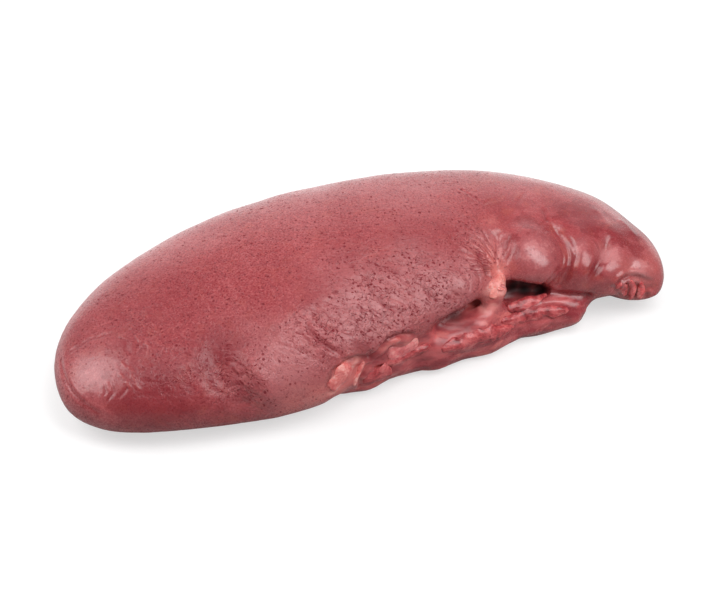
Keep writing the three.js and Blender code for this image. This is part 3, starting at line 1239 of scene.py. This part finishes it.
@dataclass
class Organ:
    """The organ with the fat and trimmed tissue in its hilum, as one fine mesh. Sizes in millimetres."""

    view: PhotoView
    finish: WetMembrane
    merged: float = 0.01
    voxel: float = 2.84
    smoothing: int = 8
    flat_below: float = 0.6
    fine_above: float = 5
    fine_before: float = 22
    finest_boxes: tuple[Triple, ...] = ((-168, -118, -16), (-88, 46, -46), (46, 82, 22), (82, 175, -14))
    lift: float = 0.5
    lift_ends: Span = (130, 146)
    lifted_below: Span = (24, 0)
    arch: float = 5
    arch_place: float = 131
    arch_width: float = 10
    arch_front: Span = (25, -15)
    arch_lean: Span = (-20, -40)
    hilum: Pixel = (500, 270)
    lip: tuple[Pixel, ...] = (
        (326, 399), (328, 388), (334, 370), (342, 363), (356, 359), (369, 357), (382, 347),
        (397, 336), (416, 334), (445, 326), (470, 318), (486, 308), (497, 294), (503, 283),
        (520, 283), (540, 289), (560, 297), (578, 295), (590, 300), (594, 308),
    )
    forms: tuple[Form, ...] = (
        # The lobes and the oval patch, raised, and a flat on the blunt end
        Form(((528, 242), (540, 262)), -3.0, 12, power=2.6),
        Form(((572, 214), (580, 236), (583, 252), (578, 268)), -2.2, 7, fade_in=0.7, power=1.8),
        Form(((602, 214), (611, 236), (614, 252), (606, 268)), -2.4, 8, fade_in=0.7, power=1.8),
        Form(((456, 282), (470, 288)), -1.0, 7, power=2.6),
        Form(((88, 366), (98, 384)), 0.7, 12, power=2.0),
        # The valleys between the lobes and under them
        Form(((496, 228), (499, 250), (500, 270)), 2.5, 4.5, fade_in=0.3),
        Form(((546, 218), (558, 231), (567, 245), (570, 258), (567, 272), (560, 286)),
             3.0, 3.5, fade_in=0.3),
        Form(((610, 232), (606, 250), (599, 264), (592, 278), (583, 293)),
             3.5, 3.8, fade_in=0.3, fade_out=0.4),
        Form(((638, 258), (632, 267), (625, 277), (615, 290)), 1.8, 3.8, fade_in=0.4),
        Form(((532, 288), (545, 291), (560, 295), (578, 297), (594, 297)),
             3.5, 2.4, fade_in=0.1, fade_out=0.1),
        Form(((620, 291), (648, 287)), 2.4, 4.5),
        # The edge between the top and the front, raised
        Form(((248, 352), (265, 330), (300, 310), (340, 288), (370, 264), (400, 252), (430, 250),
              (460, 258)), -0.9, 7, fade_in=0.2, fade_out=0.2),
        # The valley before it, the crest beside the valley, and a hollow towards the blunt end
        Form(((205, 345), (218, 366), (232, 388), (245, 404)), 3.0, 9, fade_in=0.6),
        Form(((238, 345), (252, 368), (270, 392)), -2.4, 9, fade_in=0.5),
        Form(((130, 392), (170, 392), (205, 388)), 1.0, 9, fade_in=0.2, fade_out=0.2),
    )
    creases: tuple[Crease, ...] = (
        # The cleft over the hilum, and the edge of the middle of the organ beside it
        Crease(((500, 270), (498, 258), (499, 244), (496, 230)), 1.3, 1.2),
        Crease(((489, 279), (485, 266), (478, 254), (469, 247)), 1.6, 1.3),
        Crease(((503, 262), (504, 250), (508, 241), (513, 234)), 1.0, 1.1),
        # Folds that run to the hilum
        Crease(((495, 268), (486, 257), (476, 248), (466, 242)), 0.8, 0.9),
        Crease(((497, 262), (490, 252), (483, 242), (474, 234)), 0.7, 0.9),
        Crease(((496, 256), (491, 246), (486, 236), (480, 228)), 0.6, 0.9),
        Crease(((500, 268), (506, 262), (510, 254), (516, 246)), 0.6, 0.9),
        Crease(((482, 262), (474, 256), (465, 252), (455, 250)), 0.6, 0.9),
        Crease(((456, 219), (464, 222), (471, 228), (478, 238)), 0.4, 0.9),
        # The folds between the lobes
        Crease(((566, 276), (569, 266), (570, 254), (566, 243), (558, 232), (548, 223)), 1.4, 1.2),
        Crease(((582, 294), (591, 279), (597, 265), (603, 253), (607, 243)),
               1.0, 1.9, fade_in=0.4, fade_out=0.6),
        Crease(((616, 290), (624, 281), (631, 270)), 1.4, 1.3),
        Crease(((537, 290), (545, 279), (553, 271), (563, 265)), 1.6, 1.3),
        # Fine folds beside the first lobe
        Crease(((561, 268), (564, 257), (561, 245), (553, 233)), 0.5, 0.7),
        Crease(((555, 266), (559, 256), (556, 246), (549, 237)), 0.4, 0.7),
        Crease(((558, 270), (562, 256), (558, 243), (550, 231)), 0.3, 0.6),
        Crease(((551, 264), (555, 256), (553, 248), (547, 241)), 0.3, 0.6),
        Crease(((573, 266), (576, 253), (572, 241), (563, 230)), 0.5, 0.7),
        Crease(((553, 286), (557, 277), (562, 270)), 0.5, 0.8),
        Crease(((546, 287), (551, 279), (556, 272)), 0.5, 0.8),
        Crease(((597, 262), (592, 251), (584, 238)), 0.5, 0.8),
        Crease(((601, 252), (596, 244), (589, 235)), 0.4, 0.8),
        Crease(((548, 223), (545, 214), (542, 204)), 0.8, 0.9),
        Crease(((516, 248), (518, 239), (525, 232), (534, 229)), 0.5, 0.9),
        Crease(((541, 238), (546, 230), (552, 233)), 0.4, 0.8),
        # Thin folds of the membrane over the crest
        Crease(((448, 178), (452, 184), (463, 191), (474, 198), (484, 205), (487, 209)), 0.35, 0.7),
        Crease(((483, 205), (487, 202), (495, 200), (501, 199)), 0.3, 0.7),
        Crease(((533, 181), (526, 192), (518, 203), (511, 218)), 0.3, 0.8),
        # Thin folds round the blunt end
        Crease(((65, 357), (73, 350), (81, 345), (88, 339), (97, 337), (110, 334), (123, 335)), 0.8, 0.9),
        Crease(((70, 352), (80, 341), (92, 332), (104, 331)), 0.4, 0.8),
        Crease(((108, 377), (111, 386), (113, 393), (107, 400), (101, 408)), 0.55, 0.9),
        Crease(((104, 382), (106, 392), (102, 400), (98, 406)), 0.4, 0.8),
        Crease(((118, 399), (124, 392), (128, 386)), 0.4, 0.9),
        Crease(((60, 352), (62, 366), (66, 380), (73, 393), (84, 404), (98, 413), (116, 419)),
               0.45, 1.1, shoulder=0.2),
        # Long cracks across the middle
        Crease(((306, 320), (309, 331), (317, 338), (324, 344), (332, 351), (344, 357)), 0.9, 1.1),
        Crease(((363, 266), (367, 277), (371, 287), (378, 298), (385, 306), (398, 310), (410, 316)),
               0.8, 1.0),
        Crease(((422, 280), (425, 288), (432, 297), (442, 304)), 0.7, 0.9),
        Crease(((340, 311), (352, 309), (364, 310), (372, 307)), 0.5, 0.9),
        # The edge of the oval patch
        Crease(((468, 262), (476, 270), (479, 281), (475, 292), (466, 299)), 0.6, 0.9),
        Crease(((455, 272), (451, 283), (455, 294), (463, 299)), 0.4, 0.9),
        # Fine strands where the leathery skin begins
        Crease(((352, 272), (360, 262), (372, 254), (386, 250)), -0.4, 0.8, shoulder=0.5),
        Crease(((366, 262), (378, 252), (394, 247), (410, 247)), -0.4, 0.8, shoulder=0.5),
        Crease(((384, 258), (394, 251), (408, 249), (424, 252)), -0.35, 0.8, shoulder=0.5),
        Crease(((318, 306), (330, 296), (344, 284), (354, 274)), -0.35, 0.8, shoulder=0.5),
        # The edge of the fat and the folds between the lumps of the strip
        Crease(((342, 363), (334, 370), (329, 380), (327, 388), (326, 397)), 0.7, 1.3),
        Crease(((340, 363), (356, 359), (369, 357), (376, 352), (382, 347), (389, 340), (397, 336),
                (416, 335)), 2.4, 1.5, shoulder=0.2, fade_in=0.1, fade_out=0.1),
        Crease(((361, 390), (360, 378), (366, 366), (372, 358)), 1.6, 1.3),
        Crease(((392, 366), (381, 367), (370, 368)), 1.4, 1.2),
        # The crevices of the puckered end
        Crease(((615, 289), (621, 281), (631, 276), (641, 278), (649, 282), (658, 280)),
               2.0, 1.3, shoulder=0.4, fade_in=0.1, fade_out=0.5),
        Crease(((641, 288), (647, 289), (654, 287)), 1.8, 1.2),
        Crease(((626, 281), (628, 288), (627, 294), (623, 301)), 1.8, 1.1),
        Crease(((636, 281), (637, 288), (636, 295), (633, 303)), 1.6, 1.0),
        Crease(((645, 286), (647, 293), (645, 300)), 1.2, 1.0),
        Crease(((613, 287), (617, 294), (623, 298)), 1.2, 1.0),
        # The ragged fold below the hollow, raised
        Crease(((507, 311), (515, 306), (530, 303), (546, 297)), -2.0, 1.5, shoulder=0.0),
        # Soft ridges over the back of the tapered end, raised
        Crease(((588, 207), (600, 213), (606, 225), (608, 240)), -0.4, 2.6, shoulder=0.0),
        Crease(((618, 218), (628, 227), (636, 240)), -0.5, 2.6, shoulder=0.0),
    )
    streaks: tuple[Pixel, ...] = (
        # Where fine raised streaks of the skin start: in the valley, and beside the blunt end
        (226, 372), (234, 367), (238, 378), (246, 372), (251, 384), (243, 388), (257, 379),
        (260, 391), (252, 396), (266, 386), (231, 385), (238, 396), (229, 394), (222, 381),
        (120, 361), (127, 366), (130, 374), (125, 381), (134, 383), (118, 372), (123, 306),
        (131, 313), (139, 321), (148, 330), (127, 322), (135, 335), (144, 341), (117, 331),
        (154, 338), (142, 310), (150, 322), (160, 330),
    )
    streak_run: Pixel = (7, 8)
    streak_height: float = 0.4
    streak_width: float = 0.7
    fat_spots: tuple[Spot, ...] = (
        Spot((350, 374), 9, 0.9), Spot((338, 386), 8, 0.8), Spot((322, 391), 6, 0.4),
        Spot((500, 273), 3.5, 1.0), Spot((494, 290), 6, 0.9), Spot((487, 303), 5, 0.8),
        Spot((492, 222), 3, 0.3), Spot((476, 303), 6, 0.8), Spot((402, 349), 7, 0.8),
    )
    salmon_spots: tuple[Spot, ...] = (
        Spot((495, 265), 8, 1.0), Spot((492, 222), 8, 0.25), Spot((489, 256), 10, 0.9),
        Spot((318, 398), 9, 0.8), Spot((295, 405), 9, 0.6), Spot((635, 290), 10, 0.7),
        Spot((628, 270), 7, 0.4), Spot((652, 268), 8, 0.4),
    )
    # Wine-coloured patches, and painted shade on the shaded front, in the valley and along the edges
    wine_and_shade_spots: tuple[Spot, ...] = (
        Spot((145, 394), 18, 0.9), Spot((245, 392), 8, 0.4), Spot((210, 348), 22, 0.6),
        Spot((120, 296), 16, 0.4), Spot((250, 300), 26, 0.25), Spot((90, 412), 14, 0.4),
        Spot((362, 350), 7, 0.6), Spot((75, 335), 14, 0.4), Spot((514, 252), 4, 0.7),
        Spot((526, 224), 8, 0.6), Spot((160, 310), 34, 0.45), Spot((130, 350), 14, 0.6),
        Spot((513, 240), 4, 0.8), Spot((350, 255), 16, 0.35), Spot((405, 238), 16, 0.35),
        Spot((115, 300), 20, 0.5), Spot((450, 236), 12, 0.35), Spot((318, 290), 14, 0.4),
        Spot((216, 350), 18, 0.9), Spot((150, 392), 22, 1.0), Spot((585, 212), 12, 0.6),
        Spot((625, 230), 10, 0.6), Spot((562, 212), 8, 0.5), Spot((590, 226), 9, 0.7),
        Spot((618, 236), 9, 0.7), Spot((636, 250), 6, 0.6), Spot((598, 272), 6, 0.4),
        Spot((445, 318), 14, 0.4),
    )
    # Paler membrane, with painted highlights on the blunt end, the middle front and the lobes
    bloom_and_highlight_spots: tuple[Spot, ...] = (
        Spot((92, 372), 20, 0.45), Spot((290, 365), 22, 0.8), Spot((370, 300), 28, 1.0),
        Spot((440, 285), 22, 0.9), Spot((535, 252), 12, 0.66), Spot((578, 248), 6, 0.6),
        Spot((486, 248), 12, 1.0), Spot((504, 258), 5, 0.6), Spot((609, 256), 7, 1.0),
        Spot((655, 250), 10, 0.8), Spot((170, 240), 30, 0.45), Spot((635, 225), 10, 0.15),
        Spot((420, 195), 34, 0.45), Spot((300, 200), 30, 0.35), Spot((410, 258), 16, 0.8),
        Spot((315, 400), 10, 0.7), Spot((640, 272), 9, 0.8), Spot((470, 268), 12, 0.9),
        Spot((248, 384), 12, 0.5),
    )
    wrinkled_spots: tuple[Spot, ...] = (
        Spot((380, 300), 34), Spot((320, 335), 20, 0.9), Spot((235, 385), 18, 1.0),
        Spot((440, 285), 24, 0.9), Spot((470, 240), 14, 0.7), Spot((180, 370), 30, 0.5),
        Spot((410, 262), 14, 0.9), Spot((140, 330), 18, 0.6),
    )
    smooth_spots: tuple[Spot, ...] = (
        Spot((95, 380), 15), Spot((290, 378), 12, 0.3), Spot((461, 284), 6, 0.7),
        Spot((300, 402), 10, 0.8), Spot((110, 412), 14, 0.8), Spot((150, 412), 14, 0.8),
        Spot((195, 415), 14, 0.8), Spot((240, 413), 12, 0.8), Spot((130, 392), 10, 0.6),
    )
    # Painted shade in the deep hollow under the fold, beside the hilum
    cavity_shade_spots: tuple[Spot, ...] = (
        Spot((512, 286), 5), Spot((524, 289), 6), Spot((538, 292), 5), Spot((455, 318), 5, 0.6),
    )
    lip_edge: Span = (0.8, -0.8)
    lip_start: float = 1
    lip_end: float = 2
    front: Span = (-20, -28)
    back: Span = (-10, 25)
    tapered: Span = (62, 92)
    tapered_smooth: float = 0.9
    back_rougher: float = 0.35
    tapered_edge: Waves = Waves(50, 26, 8.3)
    fat_rags: Waves = Waves(0.6, 6, 4.2)
    fat_usual: float = 0.7
    fat_strength: float = 1.6
    # Painted contact shadow on the skin just above the table: the heights in millimetres over which it
    # fades, and its strength
    contact_shade: Span = (5, 1)
    contact_shade_share: float = 0.4
    darkest_contact_shade: Span = (3.6, 2.2)
    darkest_contact_shade_share: float = 0.6
    flattened: float = 0.8
    taut_share: float = 0.25
    swell: Waves = Waves(0.45, 22, 3.1)
    wrinkles: tuple[Waves, ...] = (Waves(0.35, 6, 7.7), Waves(0.16, 2.2, 5.5))
    wrinkle_stretch: float = 2.2
    cracks: Waves = Waves(0.6, 9, 2.6)
    crack_width: float = 0.08
    lumps: tuple[Waves, ...] = (Waves(1.2, 8, 1.3), Waves(0.6, 4, 9.4))
    lump_direction: Triple = (1.0, -0.2, 0.0)
    lump_stretch: float = 2.5
    fan_height: float = 0.9
    fan_turns: float = 5.5
    fan_length: float = 14
    fan_start: Span = (2, 7)
    fan_width: float = 22
    fan_sine: Span = (-0.2, 0.3)
    fan_cosine: Span = (0.75, 0.2)

    def build(self) -> tuple[bpy.types.Object, Skin]:
        """Make the organ.

        Returns:
            The organ's object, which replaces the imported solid, and its skin, for straps to lie on.
        """
        mesh = self._fine_mesh()
        skin = Skin(mesh, self.view)
        below = self._below_lip(skin)
        self._paint(skin, below)
        self._sculpt(skin, below)
        for polygon in mesh.polygons:
            polygon.use_smooth = True
        mesh.materials.append(self.finish.material())
        organ = place_object("organ", mesh)
        stand_for_node(organ)
        return organ, Skin(mesh, self.view)

    def _fine_mesh(self) -> bpy.types.Mesh:
        """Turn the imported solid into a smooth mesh, finer everywhere but underneath.

        Returns:
            The mesh.
        """
        shape = bmesh.new()
        shape.from_mesh(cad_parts[NODE].data)
        bmesh.ops.remove_doubles(shape, verts=shape.verts, dist=self.merged * MM)
        holder = place_object("rough", to_mesh("rough", shape))
        remesh = holder.modifiers.new("remesh", "REMESH")
        remesh.mode = "VOXEL"
        remesh.voxel_size = self.voxel * MM
        graph = bpy.context.evaluated_depsgraph_get()
        fine = bpy.data.meshes.new_from_object(holder.evaluated_get(graph))
        bpy.data.objects.remove(holder)

        shape = bmesh.new()
        shape.from_mesh(fine)
        bpy.data.meshes.remove(fine)
        self._smooth(shape, self.smoothing)
        self._lift_end(shape)
        for finest in (False, True):
            edges = [edge for edge in shape.edges
                     if all(self._fine(vert.co, finest) for vert in edge.verts)]
            bmesh.ops.subdivide_edges(shape, edges=edges, cuts=1, use_grid_fill=True)
            self._smooth(shape, 2)
        return to_mesh("organ", shape)

    def _fine(self, place: Vector, finest: bool) -> bool:
        """Decide how fine the mesh is at a place.

        Args:
            place: the place.
            finest: whether it is asked for the finest mesh, which is where folds are.

        Returns:
            Whether the mesh is fine there, or finest.
        """
        seen = place.z > self.fine_above * MM and place.y < self.fine_before * MM
        folded = any(low * MM < place.x < high * MM and place.y < front * MM
                     for low, high, front in self.finest_boxes)
        return seen and (folded or not finest)

    def _lift_end(self, shape: bmesh.types.BMesh) -> None:
        """Lift the underside of the tapered end off the table, most behind the puckered tip.

        Args:
            shape: the organ.
        """
        for vert in shape.verts:
            low = float(smooth_step(self.lifted_below, vert.co.z, MM))
            away = (vert.co.x - self.arch_place * MM) / (self.arch_width * MM)
            arch = self.arch * MM * float(bell(away) * smooth_step(self.arch_front, vert.co.y, MM))
            end = self.lift * MM * float(smooth_step(self.lift_ends, vert.co.x, MM))
            vert.co.z += low * (end + arch)
            vert.co.y += low * arch * float(smooth_step(self.arch_lean, vert.co.y, MM))

    def _smooth(self, shape: bmesh.types.BMesh, passes: int) -> None:
        """Smooth a shape, with its flat underside kept on the table.

        Args:
            shape: the organ.
            passes: how many times.
        """
        smooth_all(shape, passes)
        for vert in shape.verts:
            if vert.co.z < self.flat_below * MM:
                vert.co.z = 0.0

    def _below_lip(self, skin: Skin) -> Array:
        """Find the hilum's tissue, on the front, below the lip.

        Args:
            skin: the organ's skin.

        Returns:
            1 at its points and 0 elsewhere.
        """
        line = np.array([skin.find(pixel) for pixel in self.lip])
        line = line[np.argsort(line[:, 0])]
        first, last = line[0, 0] / MM, line[-1, 0] / MM
        lip_height = np.interp(skin.points[:, 0], line[:, 0], line[:, 2])
        under = smooth_step(self.lip_edge, skin.points[:, 2] - lip_height, MM)
        start = (first - self.lip_start, first + self.lip_start)
        end = (last + self.lip_end, last - self.lip_end)
        ends = smooth_step(start, skin.points[:, 0], MM) * smooth_step(end, skin.points[:, 0], MM)
        return under * ends * smooth_step(self.front, skin.points[:, 1], MM)

    def _polar(self, skin: Skin) -> tuple[Array, Array]:
        """Measure where the skin is from the hilum.

        Args:
            skin: the organ's skin.

        Returns:
            Each point's angle round the hilum and its distance from it.
        """
        offset = skin.points - skin.find(self.hilum)
        reach = np.linalg.norm(offset, axis=1)
        return np.arctan2(offset[:, 1] + offset[:, 2], offset[:, 0]), reach

    def _smoothness(self, skin: Skin) -> Array:
        """Find where the skin is smooth: in spots, and all over the tapered end.

        Args:
            skin: the organ's skin.

        Returns:
            1 where it is smooth and 0 where it isn't.
        """
        behind = smooth_step(self.back, skin.points[:, 1], MM)
        edge = self.tapered_edge
        wander = edge.height * MM * behind * skin.noise(edge.length, edge.seed)
        tapered = smooth_step(self.tapered, skin.points[:, 0] + wander, MM)
        most = self.tapered_smooth - self.back_rougher * behind
        return np.maximum(skin.spots(self.smooth_spots), most * tapered)

    def _paint(self, skin: Skin, below: Array) -> None:
        """Paint the attributes that the finish reads.

        Args:
            skin: the organ's skin.
            below: where the hilum's tissue is.
        """
        turn, reach = self._polar(skin)
        rags = self.fat_rags
        ragged = self.fat_usual + rags.height * skin.noise(rags.length, rags.seed)
        fat = skin.spots(self.fat_spots) * (1.0 + below) / 2 * self.fat_strength * ragged
        # Painted contact shadow near the table, not on the hilum's tissue, darkest just above the table
        contact_shade = self.contact_shade_share * smooth_step(self.contact_shade, skin.points[:, 2], MM) * (1.0 - below)
        contact_shade += self.darkest_contact_shade_share * smooth_step(self.darkest_contact_shade, skin.points[:, 2], MM)
        skin.paint(Paint.RAW, below)
        skin.paint(Paint.FAT, np.clip(fat, 0, 1))
        # Wine-coloured patches and painted shade, together with the painted contact shadow
        skin.paint(Paint.WINE_AND_SHADE, np.maximum(skin.spots(self.wine_and_shade_spots), contact_shade))
        skin.paint(Paint.SALMON, skin.spots(self.salmon_spots))
        # Painted shade in the deep hollow, and the paler membrane with painted highlights
        skin.paint(Paint.CAVITY_SHADE, skin.spots(self.cavity_shade_spots))
        skin.paint(Paint.BLOOM_AND_HIGHLIGHT, skin.spots(self.bloom_and_highlight_spots))
        skin.paint(Paint.WRINKLED, skin.spots(self.wrinkled_spots))
        skin.paint(Paint.SMOOTH, self._smoothness(skin))
        skin.paint(Paint.FAN_TURN, turn)
        skin.paint(Paint.FAN_REACH, reach / MM)

    def _sculpt(self, skin: Skin, below: Array) -> None:
        """Give the skin its lobes, creases, ridges and wrinkles.

        Args:
            skin: the organ's skin.
            below: where the hilum's tissue is.
        """
        for form in self.forms:
            skin.press(form)
        skin.ripple(self.swell)
        skin.move()
        for crease in self.creases:
            skin.press(crease)
        for start in self.streaks:
            end = (start[0] + self.streak_run[0], start[1] + self.streak_run[1])
            skin.press(Crease((start, end), -self.streak_height, self.streak_width))
        wrinkled = skin.spots(self.wrinkled_spots)
        plain = 1.0 - self.flattened * self._smoothness(skin)
        rough = (self.taut_share + (1.0 - self.taut_share) * wrinkled) * plain
        flow = skin.drawn_out(self.finish.slit_direction, self.wrinkle_stretch)
        for waves in self.wrinkles:
            skin.ripple(waves, rough, flow)
        cracks = bell(skin.noise(self.cracks.length, self.cracks.seed, flow) / self.crack_width)
        skin.height -= self.cracks.height * MM * wrinkled * plain * cracks
        skin.height += self._fan(skin)
        along = skin.drawn_out(self.lump_direction, self.lump_stretch)
        for waves in self.lumps:
            skin.ripple(waves, below, along)
        # Thin creases get painted shade, thin raised ridges a painted highlight
        skin.paint(Paint.GROOVE, skin.groove)
        skin.paint(Paint.RIDGE, skin.ridge)
        skin.move()

    def _fan(self, skin: Skin) -> Array:
        """Fold the membrane that gathers at the hilum.

        Args:
            skin: the organ's skin.

        Returns:
            The height of the folds.
        """
        turn, reach = self._polar(skin)
        along = reach / (self.fan_length * MM)
        places = np.stack([turn * self.fan_turns, along, np.zeros(len(reach))], axis=1)
        folds = np.array([noise.noise(place) for place in places])
        ring = smooth_step(self.fan_start, reach, MM) * bell(reach / (self.fan_width * MM))
        above = smooth_step(self.fan_sine, np.sin(turn)) * smooth_step(self.fan_cosine, np.cos(turn))
        return self.fan_height * MM * folds * ring * above


@dataclass(frozen=True)
class Hilum:
    """The straps and folds of tissue that stand out in the organ's hilum."""

    ligament: WetTissue = WetTissue(
        "ligament", linear(200, 102, 98), linear(222, 130, 122), linear(238, 164, 154),
    )
    flesh: WetTissue = WetTissue(
        "trimmed_flesh", linear(126, 30, 38), linear(182, 70, 74), linear(212, 110, 110),
    )
    fat: WetTissue = WetTissue("fat", linear(200, 86, 86), linear(228, 124, 120), linear(244, 174, 166))
    membrane: WetTissue = WetTissue(
        "membrane", linear(166, 50, 56), linear(212, 92, 94), linear(236, 142, 138),
    )
    sheet: WetTissue = WetTissue(
        "pink_sheet", linear(198, 88, 92), linear(226, 122, 124), linear(240, 158, 152),
    )
    ligament_straps: tuple[Strap, ...] = (
        Strap("ligament_1", ((501, 272), (502, 281), (501, 292)), (0.8, 2.4, 2.2), 0.6, 0.9, 1.7, 0.1),
        Strap("ligament_2", ((500, 272), (497, 284), (491, 299)), (0.8, 2.6, 2.4), 0.6, 0.7, 5.2, 0.1),
        Strap("ligament_3", ((499, 273), (491, 286), (480, 300)), (0.8, 2.2, 1.6), 0.6, 0.3, 3.9, 0.1),
    )
    flesh_straps: tuple[Strap, ...] = (
        Strap("ragged_fold", ((509, 313), (513, 307), (524, 303), (535, 300), (547, 294)),
              (2.6, 3.4, 3.0, 2.4, 1.4), 1.1, 0.1, 3.4, 0.25),
        Strap("red_lobe", ((361, 381), (371, 378), (382, 374), (393, 369)),
              (4.6, 6.4, 6.0, 3.8), 2.4, -0.7, 7.3, 0.1),
        Strap("red_fold", ((380, 366), (395, 361), (415, 352), (432, 345)),
              (2.2, 3.0, 3.2, 1.8), 1.9, -0.5, 9.1, 0.25),
        Strap("red_sheet", ((440, 350), (465, 342), (490, 334), (515, 326)),
              (3.2, 4.6, 4.8, 2.6), 2.2, -0.6, 2.2, 0.25),
        Strap("red_strand", ((500, 322), (520, 318), (545, 312), (570, 310)),
              (2.4, 3.6, 3.4, 2.2), 1.8, -0.6, 4.8, 0.25),
    )
    fat_straps: tuple[Strap, ...] = (
        Strap("fat_edge", ((364, 360), (360, 368), (356, 377), (353, 386)),
              (1.2, 1.8, 1.8, 1.2), 1.3, 0.1, 2.9, 0.2),
        Strap("fat_lump", ((352, 366), (345, 374), (338, 383), (331, 392)),
              (4.6, 6.8, 6.4, 4.0), 2.2, -0.9, 6.4, 0.25),
    )
    membrane_straps: tuple[Strap, ...] = (
        Strap("pucker_fold_1", ((616, 289), (620, 285), (625, 288), (625, 295)),
              (1.6, 2.6, 2.8, 1.6), 1.3, 0.0, 6.6, 0.15),
        Strap("pucker_fold_2", ((630, 280), (632, 286), (632, 292), (630, 299)),
              (1.4, 2.0, 2.2, 1.4), 1.6, 0.3, 2.5, 0.15),
        Strap("pucker_fold_3", ((640, 281), (641, 287), (641, 293), (639, 299)),
              (1.2, 2.0, 2.2, 1.4), 1.4, 0.2, 8.8, 0.15),
    )
    sheet_straps: tuple[Strap, ...] = (
        Strap("pink_sheet", ((387, 358), (397, 352), (407, 348), (419, 344)),
              (3.6, 5.4, 5.8, 4.8), 1.5, -0.4, 1.1, 0.1),
    )

    def build(self, skin: Skin) -> list[bpy.types.Object]:
        """Make the straps.

        Args:
            skin: the organ's sculpted skin.

        Returns:
            Their objects.
        """
        pieces = []
        sorts = (
            (self.ligament, self.ligament_straps),
            (self.flesh, self.flesh_straps),
            (self.fat, self.fat_straps),
            (self.membrane, self.membrane_straps),
            (self.sheet, self.sheet_straps),
        )
        for finish, straps in sorts:
            material = finish.material()
            pieces += [strap.build(skin, material) for strap in straps]
        return pieces


@dataclass(frozen=True)
class Studio:
    """The pale floor, the white surroundings and the soft boxes. Sizes in metres."""

    floor_side: float = 6.0
    floor_colour: Colour = (0.45, 0.45, 0.45, 1.0)
    floor_seen: float = 0.58
    floor_behind: float = 0.9
    behind: Span = (0.0, 0.15)
    shade: float = 0.3
    back_glow: float = 1.2
    back_direction: Triple = (0.25, 0.95, 0.12)
    back_levels: Span = (0.7, 0.96)
    aim: Triple = (0.0, 0.0, 0.03)
    boxes: tuple[SoftBox, ...] = (
        SoftBox("left_box", (-0.64, 0.27, 0.72), 1.3, (0.95, 0.95), 3.7),
        SoftBox("front_box", (0.36, -0.36, 0.86), 1.4, (0.85, 1.6), 4.3),
    )

    def build(self) -> None:
        """Make the floor, the world and the lights."""
        self._floor()
        self._world()
        for box in self.boxes:
            box.build(Vector(self.aim))
        scene = bpy.context.scene
        scene.view_settings.view_transform = "Standard"
        scene.view_settings.look = "None"

    def _floor(self) -> None:
        """Make the floor, which glows like a light table behind the object."""
        shape = bmesh.new()
        bmesh.ops.create_grid(shape, x_segments=1, y_segments=1, size=self.floor_side / 2)
        mesh = to_mesh("floor", shape)
        material, graph = new_material("floor")
        paint = graph.node("ShaderNodeBsdfDiffuse", {}, Color=self.floor_colour)
        place = graph.node("ShaderNodeTexCoord", {}, output="Object")
        depth = graph.vector("DOT_PRODUCT", place, (0.0, 1.0, 0.0), output="Value")
        seen = graph.node("ShaderNodeLightPath", {}, output="Is Camera Ray")
        back = (1.0 - seen) * depth.between(*self.behind)
        strength = seen * self.floor_seen + back * self.floor_behind
        glow = graph.node("ShaderNodeEmission", {}, Strength=strength)
        both = graph.node("ShaderNodeAddShader", {}, paint, glow)
        graph.node("ShaderNodeOutputMaterial", {}, Surface=both)
        mesh.materials.append(material)
        place_object("floor", mesh)

    def _world(self) -> None:
        """Make surroundings that are bright behind the object and dimmer in front of it."""
        world = bpy.data.worlds.new("studio")
        world.use_nodes = True
        bpy.context.scene.world = world
        graph = Graph(world.node_tree)
        place = graph.node("ShaderNodeTexCoord", {}, output="Generated")
        backwards = graph.vector("DOT_PRODUCT", place, self.back_direction, output="Value")
        shade = self.shade + self.back_glow * backwards.between(*self.back_levels)
        seen = graph.node("ShaderNodeLightPath", {}, output="Is Camera Ray")
        strength = seen + (1.0 - seen) * shade
        light = graph.node("ShaderNodeBackground", {}, Strength=strength)
        graph.node("ShaderNodeOutputWorld", {}, Surface=light)


def main() -> None:
    """Build the camera, the studio and the organ, and report each piece."""
    logging.basicConfig(level=logging.INFO, format="%(name)s: %(message)s")
    view = PhotoView()
    view.build()
    Studio().build()
    organ, skin = Organ(view, WetMembrane()).build()
    for piece in (organ, *Hilum().build(skin)):
        log.info("%s has %d faces", piece.name, len(piece.data.polygons))


if __name__ == "__main__":
    main()
